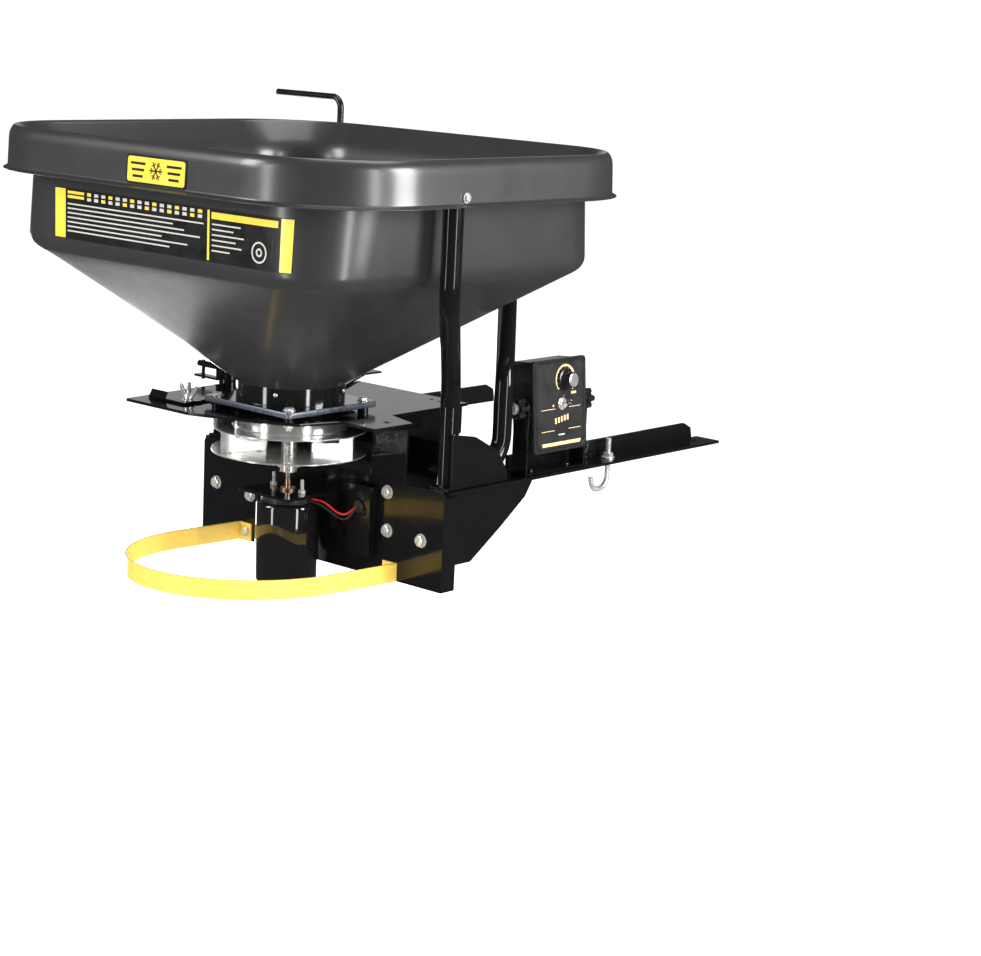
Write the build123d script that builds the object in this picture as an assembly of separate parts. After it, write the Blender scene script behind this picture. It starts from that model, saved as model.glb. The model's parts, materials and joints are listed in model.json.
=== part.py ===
from build123d import *
import math
import os

# Rack-mounted electric broadcast spreader, in millimetres.
# The model is built about the spinner's axis: x = 0, y = 0, and z = 0 on the deck's top face.
# -Y is the rear, where the spinner throws, +Y runs forward over the carrier rack, +X is the right.
# Every node is written in the row frame, whose origin is the centre of the four rack bolt holes,
# on the underside of the mounting arms.

# ---- driving dimensions -------------------------------------------------------------------
HOPPER_Y = 24.0          # centre of the hopper, forward of the spinner's axis
HOPPER_WALL = 4.0
NECK_R = 71.0
NECK_Z = 38.6            # bottom of the hopper's cone
CREASE_Z = 203.0
CREASE_X, CREASE_Y = 288.0, 265.0
LIP_X, LIP_Y, LIP_R = 342.0, 305.0, 156.0
LIP_Z = 296.0
LIP_RISE = 3.5           # the lip's slope, up to the band
RIM_Z = 351.5
FLARE_Z = 311.0          # where the basin's wall turns out to the rim
BAND_X, BAND_Y, BAND_R = 336.0, 299.0, 150.0

FLANGE_HALF = 80.0
FLANGE_Z = 6.5           # underside of the square flange
FLANGE_T = 8.0
BOLT_GRID = 67.0         # flange bolts, from the axis
DECK_T = 4.0
OUTLET_R = 50.0

PLATE_T = 4.0
BACK_Y = 56.0            # rear face of the back plate
BACK_HALF = 227.0
BACK_TOP, BACK_LOW = -80.0, -212.0
RISER_IN, RISER_OUT = 96.0, 158.0

ARM_Z = -84.0            # underside of the mounting arms
ARM_IN, ARM_OUT = 190.0, 231.0
ARM_START, ARM_END = 62.0, 650.0
ARM_X = 210.0            # line of the rack bolts
RACK_HOLES_Y = (470.0, 616.0)
RACK_HOLE_R = 4.5
HOOK_Y = 412.0

TUBE_R, TUBE_WALL = 12.7, 1.6
POST_X = 208.0
REAR_POST_Y, FRONT_POST_Y = 80.0, 184.0

SPIN_R = 101.6
SPIN_Z = -55.5           # underside of the spinner's disc
RING_Z = -24.0
SHEET = 1.5
CAN_R, CAP_R = 41.5, 35.5
MOTOR_PLATE_Z = -108.0   # top of the motor's bracket
CAN_TOP = -122.0
MOTOR_LOW = -230.0
STUD_X, STUD_Y = 29.8, 3.1
SHAFT_R = 4.0
RUN_FIT = 0.05

ROD_R = 4.75
ROD_X, ROD_Y = -258.0, 335.0
ROD_TOP = 385.0
CRANK_R = 120.0
GATE_TRAVEL = 100.0
CRANK_HALF = math.degrees(math.asin(GATE_TRAVEL / 2 / CRANK_R))
GATE_Z, GATE_T = 0.8, 3.0
STOP_X, STOP_Y = -104.0, -84.0
STOP_TRAVEL = 35.0

STRAP_HALF, STRAP_REAR, STRAP_BEND = 148.0, -234.0, 178.0
STRAP_T, STRAP_TOP, STRAP_H = 3.0, -187.0, 25.0
STRAP_RISE = 1.72        # degrees that the strap rises to the rear

CASE_Y, CASE_W, CASE_H, CASE_D = 279.0, 110.0, 124.0, 38.0
CASE_PIVOT_X, CASE_PIVOT_Z = 211.0, 11.0
CASE_TILT = -5.0
CASE_LOW = -52.0

# Tops of the posts, in the hollow rim, where the rim's screws hold them.
REAR_TOP = (317.0, -52.0)
FRONT_TOP = (104.0, 304.2)
SCREW_Z = 307.0
POST_TOP_Z = 312.0

ROW_ORIGIN = Vector(0, sum(RACK_HOLES_Y) / 2, ARM_Z)

os.makedirs("parts", exist_ok=True)


# ---- helpers ------------------------------------------------------------------------------
def box(x0, x1, y0, y1, z0, z1):
    return Pos((x0 + x1) / 2, (y0 + y1) / 2, (z0 + z1) / 2) * Box(x1 - x0, y1 - y0, z1 - z0)


def rod_z(x, y, z0, z1, r):
    return Pos(x, y, (z0 + z1) / 2) * Cylinder(r, z1 - z0)


def rod_x(x0, x1, y, z, r):
    return Pos((x0 + x1) / 2, y, z) * Rot(0, 90, 0) * Cylinder(r, x1 - x0)


def rod_y(x, y0, y1, z, r):
    return Pos(x, (y0 + y1) / 2, z) * Rot(90, 0, 0) * Cylinder(r, y1 - y0)


def hex_z(x, y, z0, z1, r):
    return Pos(x, y, z0) * extrude(RegularPolygon(r, 6), z1 - z0)


def slab(points, z0, z1):
    return Pos(0, 0, z0) * extrude(make_face(Polyline(*points, close=True)), z1 - z0)


def side_plate(points, x0, x1):
    """A plate standing in the YZ plane, from (y, z) points, between x0 and x1."""
    face = make_face(Polyline(*[(0, y, z) for y, z in points], close=True))
    return Pos(x0, 0, 0) * extrude(face, x1 - x0, dir=(1, 0, 0))


def mirror_x(shape):
    return mirror(shape, Plane.YZ)


def both_sides(shape):
    return Compound(children=[shape, mirror_x(shape)])


def save(node, shape):
    solids = ShapeList(shape.solids())
    body = solids[0] if len(solids) == 1 else Compound(children=list(solids))
    export_step(body.moved(Location(-ROW_ORIGIN)), f"parts/{node}.step")


def bolt_z(x, y, head_z, tip_z, r=3.9, head_r=7.5, head_h=5.0):
    """A hex bolt along Z with its head at head_z, its shank running to tip_z."""
    up = 1 if tip_z < head_z else -1
    head_top = head_z + up * head_h
    head = hex_z(x, y, min(head_z, head_top), max(head_z, head_top), head_r)
    return head + rod_z(x, y, min(head_z, tip_z), max(head_z, tip_z), r)


# ---- hopper -------------------------------------------------------------------------------
def section(z, half_x, half_y, radius, centre_y=HOPPER_Y):
    return Pos(0, centre_y, z) * RectangleRounded(2 * half_x, 2 * half_y, radius)


def wall_solid(inset):
    """The hopper's basin, its walls set in by inset, as one closed solid."""
    i = inset
    cone = [section(NECK_Z, NECK_R - i, NECK_R - i, NECK_R - i - 0.4, 0),
            section(CREASE_Z, CREASE_X - i, CREASE_Y - i, 79 - i)]
    wall = [section(CREASE_Z, CREASE_X - i, CREASE_Y - i, 79 - i),
            section(FLARE_Z, CREASE_X + 3 - i, CREASE_Y + 1 - i, 100 - i)]
    flare = [section(FLARE_Z, CREASE_X + 3 - i, CREASE_Y + 1 - i, 100 - i),
             section(RIM_Z, BAND_X - 15 - i, BAND_Y - 6 - i, 132 - i)]
    return loft(cone, ruled=True) + loft(wall, ruled=True) + loft(flare, ruled=True)


def make_hopper():
    lip = loft([section(LIP_Z, LIP_X, LIP_Y, LIP_R), section(LIP_Z + LIP_RISE, BAND_X, BAND_Y, BAND_R)], ruled=True)
    band = loft([section(LIP_Z + LIP_RISE, BAND_X, BAND_Y, BAND_R),
                 section(RIM_Z - 9, BAND_X - 2, BAND_Y - 2, BAND_R - 2)], ruled=True)
    brow = loft([section(RIM_Z - 9, BAND_X - 2, BAND_Y - 2, BAND_R - 2),
                 section(RIM_Z, BAND_X - 8, BAND_Y - 8, BAND_R - 8)], ruled=True)
    gap = loft([section(LIP_Z - 1, BAND_X - 3.5, BAND_Y - 3.5, BAND_R - 3.5),
                section(RIM_Z - 4, BAND_X - 10, BAND_Y - 10, BAND_R - 10)], ruled=True)
    rim = lip + band + brow - gap
    spigot = rod_z(0, 0, 18, NECK_Z + 1, 67)
    shell = rim + wall_solid(0) + spigot
    shell -= wall_solid(HOPPER_WALL)
    shell -= rod_z(0, 0, 10, NECK_Z + 6, 63)
    for shank in screw_shanks():
        shell -= shank
    return max(shell.solids(), key=lambda solid: solid.volume)


def screw_shanks():
    """The four rim screws' shanks, each from inside its post to the band's outer face."""
    shanks = []
    for side in (1, -1):
        shanks.append(rod_x(*sorted((side * (REAR_TOP[0] + 8), side * BAND_X)), REAR_TOP[1], SCREW_Z, 2.6))
        shanks.append(rod_y(side * FRONT_TOP[0], FRONT_TOP[1] + 8, HOPPER_Y + BAND_Y, SCREW_Z, 2.6))
    return shanks


def make_rim_screws():
    screws = screw_shanks()
    face_y = HOPPER_Y + BAND_Y
    for side in (1, -1):
        x0, x1, x2 = side * BAND_X, side * (BAND_X + 1.6), side * (BAND_X + 5)
        head = rod_x(*sorted((x0, x1)), REAR_TOP[1], SCREW_Z, 6.4)
        head += rod_x(*sorted((x1, x2)), REAR_TOP[1], SCREW_Z, 4.6)
        x = side * FRONT_TOP[0]
        front = rod_y(x, face_y, face_y + 1.6, SCREW_Z, 6.4) + rod_y(x, face_y + 1.6, face_y + 5, SCREW_Z, 4.6)
        screws[0 if side > 0 else 2] += head
        screws[1 if side > 0 else 3] += front
    return Compound(children=screws)


save("hopper", make_hopper())
save("rim_screws", make_rim_screws())


# ---- throat, gate and deck ----------------------------------------------------------------
def grid_points():
    return [(sx * BOLT_GRID, sy * BOLT_GRID) for sx in (1, -1) for sy in (1, -1)]


def make_throat_collar():
    plate = extrude(RectangleRounded(2 * FLANGE_HALF, 2 * FLANGE_HALF, 6), FLANGE_T)
    collar = Pos(0, 0, FLANGE_Z) * plate
    collar += rod_z(0, 0, FLANGE_Z, NECK_Z, NECK_R)
    collar += rod_z(0, 0, 4.6, FLANGE_Z, 69)
    collar -= rod_z(0, 0, 0, 60, 63)
    collar -= rod_z(0, 0, 17.8, 60, 67.3)
    for x, y in grid_points():
        collar -= rod_z(x, y, 0, 30, 4.0)
    return collar


save("throat_collar", make_throat_collar())


def make_collar_rivets():
    rivets = []
    for angle in (-150, -60, 30, 120):
        place = Rot(0, 0, angle) * Pos(NECK_R + 0.8, 0, 29) * Rot(0, 90, 0)
        rivets.append(place * Cylinder(2.6, 1.5))
    return Compound(children=rivets)


save("collar_rivets", make_collar_rivets())


def make_flange_spacers():
    return Compound(children=[rod_z(x, y, 0, FLANGE_Z, 7) - rod_z(x, y, -1, 12, 4.0)
                              for x, y in grid_points()])


save("flange_spacers", make_flange_spacers())


def make_flange_bolts():
    bolts = []
    for x, y in grid_points():
        bolt = bolt_z(x, y, FLANGE_Z + FLANGE_T, -11, 3.9, 6.8, 3.4)
        bolts.append(bolt + hex_z(x, y, -8, -DECK_T, 6.6))
    return Compound(children=bolts)


save("flange_bolts", make_flange_bolts())

DECK_OUTLINE = [(-176, -128), (-54, -128), (36, -92), (84, -64), (101, -10), (163, -10), (163, 60),
                (109, 78), (106, 230), (-190, 230), (-190, 60)]
DECK_BOLTS = [(140, 36), (-140, 36)]


def make_deck():
    deck = slab(DECK_OUTLINE, -DECK_T, 0)
    deck -= rod_z(0, 0, -10, 10, OUTLET_R)
    slot = Pos(STOP_X, STOP_Y + STOP_TRAVEL / 2, -10) * extrude(SlotCenterToCenter(STOP_TRAVEL + 16, 7.0, 90), 20)
    deck -= slot
    for x, y in grid_points() + DECK_BOLTS:
        deck -= rod_z(x, y, -10, 10, 4.0)
    for x, y in ((60, 208), (76, 206)):
        deck -= rod_z(x, y, -10, 10, 3.0)
    return deck


save("deck_plate", make_deck())

GATE_OUTLINE = [(-58, -60), (58, -60), (58, 62), (-8, 62), (-124, 268), (-124, 302), (-170, 302),
                (-170, 268), (-58, 100), (-58, -44), (-91.5, -44), (-91.5, -56), (-58, -56)]


def make_gate():
    gate = slab(GATE_OUTLINE, GATE_Z, GATE_Z + GATE_T)
    keyhole = slab([(-7, -62), (7, -62), (7, 0), (-7, 0)], 0, 5) + rod_z(0, 0, 0, 5, 7)
    gate -= keyhole
    pin_y = ROD_Y - GATE_TRAVEL / 2
    return gate - Pos(-144, pin_y, 0) * extrude(SlotCenterToCenter(17, 9.6), 8)


save("gate_plate", make_gate())


def make_stop():
    z0, z1 = 0.3, 3.3
    plate = slab([(-165, -100), (-94.5, -100), (-94.5, -68), (-98, -68), (-98, 57.5), (-80, 57.5), (-80, 66),
                  (-113, 66), (-113, -68), (-165, -68)], z0, z1)
    tab = Pos(-150, -98.6, 1.4) * Rot(-32, 0, 0) * Pos(0, 0, 5.5) * Box(30, 2.6, 11)
    tab -= box(-170, -130, -120, -60, -10, 1)
    return plate + tab - rod_z(STOP_X, STOP_Y, -1, 5, 3.2)


save("gate_stop", make_stop())


def make_stop_stud():
    """The carriage bolt under the deck and the serrated washer over the stop."""
    stud = rod_z(STOP_X, STOP_Y, -DECK_T - 0.3, 27, 3.0)
    stud += rod_z(STOP_X, STOP_Y, -DECK_T - 3.4, -DECK_T - 0.3, 8)
    washer = rod_z(STOP_X, STOP_Y, 3.6, 5.2, 9.6) - rod_z(STOP_X, STOP_Y, 0, 8, 3.2)
    for k in range(12):
        washer -= Pos(STOP_X, STOP_Y, 4.4) * Rot(0, 0, 30 * k) * Pos(9.6, 0, 0) * Box(2.4, 1.6, 4)
    return Compound(children=[stud, washer])


save("stop_stud", make_stop_stud())


def make_wing_nut():
    nut = rod_z(STOP_X, STOP_Y, 5.4, 13, 6)
    for side in (1, -1):
        wing = make_face(Polyline((side * 4, 0, 7), (side * 14, 0, 15), (side * 16, 0, 22), (side * 11, 0, 23),
                                  (side * 4, 0, 13), close=True))
        nut += Pos(STOP_X, STOP_Y, 0) * extrude(wing, 1.3, dir=(0, 1, 0), both=True)
    return nut - rod_z(STOP_X, STOP_Y, 0, 40, 3.0 + RUN_FIT)


save("stop_wing_nut", make_wing_nut())


def make_feed_collar():
    return rod_z(0, 0, -30, -DECK_T, NECK_R) - rod_z(0, 0, -40, 0, NECK_R - 1.5)


save("feed_collar", make_feed_collar())


# ---- control rod --------------------------------------------------------------------------
def make_control_rod():
    bend = 16.0
    path = FilletPolyline((ROD_X, ROD_Y, -100), (ROD_X, ROD_Y, ROD_TOP), (ROD_X - 132, ROD_Y, ROD_TOP), radius=bend)
    return sweep(Plane(origin=path @ 0, z_dir=path % 0) * Circle(ROD_R), path=path)


save("control_rod", make_control_rod())


def make_crank():
    arm = Pos(CRANK_R / 2, 0, 0) * Box(CRANK_R, 18, 4)
    arm += Cylinder(11, 4)
    arm += Pos(CRANK_R, 0, 0) * Cylinder(9, 4)
    arm += Pos(0, 0, 7) * Cylinder(10, 10)
    arm += Pos(CRANK_R, 0, -5) * Cylinder(4.0, 6.5)
    arm -= Cylinder(ROD_R, 60)
    return Pos(ROD_X, ROD_Y, 7) * Rot(0, 0, -CRANK_HALF) * arm


save("rod_crank", make_crank())


def make_rod_bushings():
    lower = rod_z(ROD_X, ROD_Y, -90, -74, 8) - rod_z(ROD_X, ROD_Y, -99, -60, ROD_R + RUN_FIT)
    upper = rod_z(ROD_X, ROD_Y, 308, 322, 8) - rod_z(ROD_X, ROD_Y, 300, 330, ROD_R + RUN_FIT)
    return Compound(children=[lower, upper])


save("rod_bushings", make_rod_bushings())


def make_rod_brackets():
    low = slab([(-276, 318), (-ARM_IN - 6, 318), (-ARM_IN - 6, 352), (-276, 352)], -80, -76)
    low -= rod_z(ROD_X, ROD_Y, -90, -60, 8)
    high = slab([(-270, 348), (-270, 285), (-246, 300), (-246, 348)], 313, 317)
    high -= rod_z(ROD_X, ROD_Y, 300, 330, 8)
    high -= rod_z(BAND_R - BAND_X, HOPPER_Y + BAND_Y - BAND_R, 300, 330, BAND_R - 0.5)
    return Compound(children=[low, high])


save("rod_brackets", make_rod_brackets())


# ---- frame --------------------------------------------------------------------------------
def make_back_plate():
    t = PLATE_T
    lower = make_face(Polyline((-BACK_HALF, BACK_LOW), (BACK_HALF, BACK_LOW), (BACK_HALF, BACK_TOP),
                               (-BACK_HALF, BACK_TOP), close=True))
    sheet = fillet(lower.vertices().group_by(Axis.Y)[-1], 8)
    for side in (1, -1):
        riser = Rectangle(RISER_OUT - RISER_IN, -DECK_T - BACK_TOP + 20)
        sheet += Pos(side * (RISER_IN + RISER_OUT) / 2, (-DECK_T + BACK_TOP - 20) / 2) * riser
    plate = Plane(origin=(0, BACK_Y, 0), x_dir=(1, 0, 0), z_dir=(0, -1, 0)) * extrude(sheet, -t)
    for side in (1, -1):
        lo, hi = sorted((side * RISER_IN, side * RISER_OUT))
        plate += box(lo, hi, 22, BACK_Y + t, -DECK_T - t, -DECK_T)
        plate -= rod_z(side * 140, 36, -20, 0, 4.0)
        lo, hi = sorted((side * (BACK_HALF - t), side * BACK_HALF))
        plate += box(lo, hi, BACK_Y, 82, BACK_LOW, BACK_TOP - 8)
    return plate


save("back_plate", make_back_plate())


def make_deck_bracket():
    """A channel that carries the deck's underside from the back plate."""
    web = side_plate([(64, -84), (150, -84), (222, -40), (222, -DECK_T), (64, -DECK_T)], 100, 104)
    foot = box(104, 130, BACK_Y + PLATE_T, 64, -84, -10)
    return web + box(100, 104, BACK_Y + PLATE_T, 64, -84, -10) + foot


DECK_WEB = (box(-100, 100, 110, 114, -100, -DECK_T) + box(-186, -100, 110, 114, -100, -30)
            + box(100, 186, 110, 114, -100, -30))
save("deck_brackets", make_deck_bracket() + mirror_x(make_deck_bracket()) + DECK_WEB)


def make_motor_bracket():
    z1, z0 = MOTOR_PLATE_Z, MOTOR_PLATE_Z - 4
    bracket = box(-46, 46, -44, BACK_Y, z0, z1) + box(-46, 46, BACK_Y - 4, BACK_Y, -168, z0)
    for side in (1, -1):
        lo, hi = sorted((side * 42, side * 46))
        bracket += side_plate([(24, z0), (BACK_Y, z0), (BACK_Y, -160), (44, -160)], lo, hi)
        bracket -= rod_z(side * STUD_X, -side * STUD_Y, -120, -90, 2.8)
    return bracket - rod_z(0, 0, -120, -90, 7.6)


save("motor_bracket", make_motor_bracket())


def make_wire_channel():
    channel = box(71, 110, 42, BACK_Y, -186, -92) - box(74, 107, 45, BACK_Y + 1, -190, -80)
    return channel - rod_y(91, 30, 50, -120, 6)


save("wire_channel", make_wire_channel())


def make_gusset():
    plate = side_plate([(84, -88), (84, -180), (116, -180), (173, -142), (221, -107), (234, -88)], 219, 223)
    plate += box(219, 223, 62, 84, BACK_LOW + 6, -88)
    return plate + box(ARM_IN + 6, 223, 62, 234, -88, ARM_Z)


save("gussets", both_sides(make_gusset()))


def make_ear():
    face = make_face(Polyline((70, -80), (180, -80), (180, -68), (160, -38), (114, -14), (78, -8), (70, -8), close=True))
    outline = fillet(face.vertices().filter_by(lambda v: v.Y > -70 and v.X > 71), 16)
    ear = Plane(origin=(221, 0, 0), x_dir=(0, 1, 0), z_dir=(1, 0, 0)) * extrude(outline, 4)
    return ear + box(ARM_IN + 6, 225, 62, 180, -80, -76)


save("post_plates", both_sides(make_ear()))


def make_arm():
    arm = box(ARM_IN, ARM_OUT, ARM_START, ARM_END, ARM_Z, ARM_Z + 4)
    web = side_plate([(215, ARM_Z + 4), (632, ARM_Z + 4), (628, ARM_Z + 20), (612, ARM_Z + 28), (215, ARM_Z + 28)],
                     ARM_IN, ARM_IN + 4)
    arm += web
    for y in RACK_HOLES_Y:
        arm -= rod_z(ARM_X, y, -100, -60, RACK_HOLE_R)
    return arm - rod_z(ARM_X, HOOK_Y, -100, -60, 4.2)


save("arm_right", make_arm())
save("arm_left", mirror_x(make_arm()))


# ---- posts --------------------------------------------------------------------------------
def tube(points, radii):
    path = FilletPolyline(*points, radius=radii)
    start = Plane(origin=path @ 0, z_dir=path % 0)
    return sweep(start * Circle(TUBE_R), path=path) - sweep(start * Circle(TUBE_R - TUBE_WALL), path=path)


def make_rear_post():
    low, high = 50.0, 182.0
    post = tube([(POST_X, REAR_POST_Y, -76), (POST_X, REAR_POST_Y, low), (*REAR_TOP, high), (*REAR_TOP, POST_TOP_Z)],
                [48, 48])
    return post - screw_shanks()[0]


def make_front_post():
    low, high = 60.0, 188.0
    foot_z = -76 + TUBE_R
    post = tube([(POST_X, 96, foot_z), (POST_X, FRONT_POST_Y, foot_z), (POST_X, FRONT_POST_Y, low),
                 (*FRONT_TOP, high), (*FRONT_TOP, POST_TOP_Z)], [42, 48, 48])
    return post - screw_shanks()[1]


save("post_rear_right", make_rear_post())
save("post_rear_left", mirror_x(make_rear_post()))
save("post_front_right", make_front_post())
save("post_front_left", mirror_x(make_front_post()))


def make_post_bracket():
    """A small clevis on the left rear post, with its pin."""
    x0, y0 = -POST_X, REAR_POST_Y
    back = y0 - TUBE_R
    clevis = rod_x(-246, x0 - 2, back - 6, 20, 4.5)
    clevis += box(-250, x0 + 6, back - 12, back, 2, 5)
    clevis += box(x0 - 6, x0 + 6, back - 4, back, 2, 24.5)
    pin_x, pin_y = -238, back - 6
    clevis -= rod_z(pin_x, pin_y, -5, 30, 2.5)
    return Compound(children=[clevis, rod_z(pin_x, pin_y, -1, 25.5, 2.5)])


save("post_bracket", make_post_bracket())


# ---- fasteners ----------------------------------------------------------------------------
def make_plate_bolts():
    """Heads of the back plate's bolts, and of the two that hold the guard strap's tabs."""
    bolts = []
    for x, z in ((-199, -141), (190, -149), (130, -147), (128, -96), (-130, -147)):
        bolts.append(Plane(origin=(x, BACK_Y, z), z_dir=(0, -1, 0)) * extrude(RegularPolygon(7.5, 6), 5.5))
    for side in (1, -1):
        place = Plane(origin=(side * 134, BACK_Y - STRAP_T, STRAP_TOP - STRAP_H / 2), z_dir=(0, -1, 0))
        bolts.append(place * extrude(RegularPolygon(7, 6), 5))
    return Compound(children=bolts)


save("plate_bolts", make_plate_bolts())


def make_frame_bolts():
    """Deck-to-riser bolts and the controller bracket's screws."""
    bolts = []
    for side in (1, -1):
        bolt = rod_z(side * 140, 36, -16, 0, 3.9) + rod_z(side * 140, 36, 0, 1.6, 6)
        bolts.append(bolt + hex_z(side * 140, 36, -13, -8, 7.2))
    bolts += [rod_z(212, CASE_Y + dy, -77, -73.5, 4.5) for dy in (-38, 38)]
    return Compound(children=bolts)


save("frame_bolts", make_frame_bolts())


def make_rack_hooks():
    hooks = []
    for side in (1, -1):
        x = side * ARM_X
        path = FilletPolyline((x, HOOK_Y, -52), (x, HOOK_Y, -122), (x, HOOK_Y - 36, -122), (x, HOOK_Y - 36, -104),
                              radius=[16, 16])
        hooks.append(sweep(Plane(origin=path @ 0, z_dir=path % 0) * Circle(3.9), path=path))
    return Compound(children=hooks)


save("rack_hooks", make_rack_hooks())


def make_rack_nuts():
    nuts = []
    for side in (1, -1):
        x = side * ARM_X
        nut = rod_z(x, HOOK_Y, ARM_Z + 4, ARM_Z + 6, 9.5) + hex_z(x, HOOK_Y, ARM_Z + 6, ARM_Z + 12, 7.4)
        nuts.append(nut - rod_z(x, HOOK_Y, -100, -40, 3.9))
    return Compound(children=nuts)


save("rack_nuts", make_rack_nuts())


# ---- spinner ------------------------------------------------------------------------------
save("spinner_disc", rod_z(0, 0, SPIN_Z, SPIN_Z + SHEET, SPIN_R) - rod_z(0, 0, -70, -40, 9.8))


def make_fins():
    floor = SPIN_Z + SHEET
    fin = make_face(Polyline((34, 0, floor), (98, 0, floor), (98, 0, RING_Z), (78, 0, RING_Z), (78, 0, RING_Z - 12),
                             (34, 0, RING_Z - 18), close=True))
    blade = extrude(fin, SHEET, dir=(0, 1, 0))
    return Compound(children=[Rot(0, 0, 60 * k + 12) * blade for k in range(6)])


save("spinner_fins", make_fins())
save("spinner_ring", rod_z(0, 0, RING_Z, RING_Z + SHEET, SPIN_R) - rod_z(0, 0, -40, 0, 75))


def make_hub():
    hub = rod_z(0, 0, -84, SPIN_Z, 11) + rod_z(0, 0, SPIN_Z, -30, 9.8)
    hub -= rod_z(0, 0, -90, -50, SHAFT_R)
    return hub - rod_z(0, 0, -50, 0, 5)


save("spinner_hub", make_hub())


def make_hub_screws():
    return Compound(children=[Rot(0, 0, angle) * rod_x(11, 16, 0, -74, 3.2) for angle in (-100, 20)])


save("hub_screws", make_hub_screws())


def make_agitator():
    shaft = rod_z(0, 0, -50, 96, 5)
    for z, angle in ((58, 20), (84, 110)):
        shaft += Pos(0, 0, z) * Rot(0, 0, angle) * rod_x(-38, 38, 0, 0, 3)
    return shaft


save("agitator", make_agitator())


# ---- motor --------------------------------------------------------------------------------
save("motor_shaft", rod_z(0, 0, MOTOR_LOW + 8, -50.2, SHAFT_R))


def make_motor_can():
    can = rod_z(0, 0, MOTOR_LOW, CAN_TOP, CAN_R) - rod_z(0, 0, MOTOR_LOW + 4, CAN_TOP - 3, CAN_R - 4)
    return can - rod_z(0, 0, CAN_TOP - 4, CAN_TOP + 1, 34)


save("motor_can", make_motor_can())


def make_motor_cap():
    cap = rod_z(0, 0, CAN_TOP, MOTOR_PLATE_Z - 4, CAP_R)
    cap -= rod_z(0, 0, -130, -90, 7.0)
    for side in (1, -1):
        cap -= rod_z(side * STUD_X, -side * STUD_Y, -130, -90, 2.6)
    return cap


save("motor_cap", make_motor_cap())


def make_motor_bearings():
    top = rod_z(0, 0, CAN_TOP, MOTOR_PLATE_Z, 7.0) + rod_z(0, 0, MOTOR_PLATE_Z, MOTOR_PLATE_Z + 3, 10)
    low = rod_z(0, 0, MOTOR_LOW + 4, MOTOR_LOW + 16, 12)
    bore = rod_z(0, 0, MOTOR_LOW + 7.5, 0, SHAFT_R + RUN_FIT)
    return Compound(children=[top - bore, low - bore])


save("motor_bearings", make_motor_bearings())


def make_armature():
    core = rod_z(0, 0, -196, -150, 31.8)
    for k in range(10):
        core -= Rot(0, 0, 36 * k) * box(21, 36, -1.5, 1.5, -200, -140)
    core += rod_z(0, 0, -146, -128, 10) + rod_z(0, 0, -150, -146, 7)
    return core - rod_z(0, 0, -230, -100, SHAFT_R)


save("motor_armature", make_armature())


def make_magnets():
    ring = rod_z(0, 0, -200, -146, 37.2) - rod_z(0, 0, -210, -140, 32.8)
    gap = box(-6, 6, -40, 40, -210, -140)
    return ring - gap


save("motor_magnets", make_magnets())


def make_motor_studs():
    studs = []
    for side in (1, -1):
        x, y = side * STUD_X, -side * STUD_Y
        studs.append(rod_z(x, y, CAN_TOP, -90, 2.5) + hex_z(x, y, MOTOR_PLATE_Z, MOTOR_PLATE_Z + 5, 5))
    return Compound(children=studs)


save("motor_studs", make_motor_studs())


def make_grommet():
    ring = rod_y(91, 39, 48, -120, 8.5) - rod_y(91, 42, 45, -120, 9) + rod_y(91, 41, 46, -120, 6)
    return ring - rod_y(91, 30, 60, -120, 3.4)


save("wire_grommet", make_grommet())


def cord(points, radius):
    """A wire along straight runs joined by arcs as large as the runs allow."""
    corners = [Vector(*p) for p in points]
    radii = []
    for before, here, after in zip(corners, corners[1:], corners[2:]):
        turn = math.radians((here - before).get_angle(after - here))
        run = min((here - before).length, (after - here).length)
        radii.append(0.45 * run / math.tan(turn / 2))
    print("cord radii", [round(r, 1) for r in radii])
    path = FilletPolyline(*points, radius=radii)
    return sweep(Plane(origin=path @ 0, z_dir=path % 0) * Circle(radius), path=path)


# The motor's two leads leave the cap's side, dip, and pass through the grommet.
RED_LEAD = [(33.9, 11.2, -116.5), (47, 15.5, -116.5), (60, 17, -121), (72, 21, -130), (82, 26, -131), (88.6, 32, -124),
            (89.4, 40, -120), (89.4, 50, -120)]
BLACK_LEAD = [(35.3, 5.3, -118.5), (49, 7.4, -118.5), (63, 13, -126), (75, 20, -136), (85, 25, -137), (91.6, 29, -127),
              (92.5, 36.5, -120.3), (92.5, 50, -120.3)]
save("motor_lead_red", cord(RED_LEAD, 1.4))
save("motor_lead_black", cord(BLACK_LEAD, 1.4))


# ---- spinner guard ------------------------------------------------------------------------
def make_guard_strap():
    """A flat bar bent to a half ellipse, its ends turned in as tabs. It rises a little to the rear."""
    half, t, bend_y = STRAP_HALF, STRAP_T, STRAP_REAR + STRAP_BEND
    arc = Ellipse(half + t / 2, STRAP_BEND + t / 2) - Ellipse(half - t / 2, STRAP_BEND - t / 2)
    arc &= Pos(0, -STRAP_BEND) * Rectangle(4 * half, 2 * STRAP_BEND)
    band = Pos(0, bend_y) * arc
    for side in (1, -1):
        band += Pos(side * half, (bend_y + BACK_Y) / 2) * Rectangle(t, BACK_Y - bend_y)
        band += Pos(side * (half + t / 2 - 12), BACK_Y - t / 2) * Rectangle(24, t)
    tall = Pos(0, 0, STRAP_TOP - 45) * extrude(band, 70)
    return tall & Pos(0, BACK_Y, STRAP_TOP - STRAP_H / 2) * Rot(-STRAP_RISE, 0, 0) * Box(400, 700, STRAP_H)


save("guard_strap", make_guard_strap())


# ---- speed controller ---------------------------------------------------------------------
PIVOT = Location((CASE_PIVOT_X, CASE_Y, CASE_PIVOT_Z)) * Location((0, 0, 0), (0, CASE_TILT, 0))
CASE_MID = (CASE_LOW + CASE_H / 2) - CASE_PIVOT_Z
FACE_X = 15.0


def in_case(shape):
    """Places a piece drawn about the controller's pivot, with the face towards +X."""
    return PIVOT * shape


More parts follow.
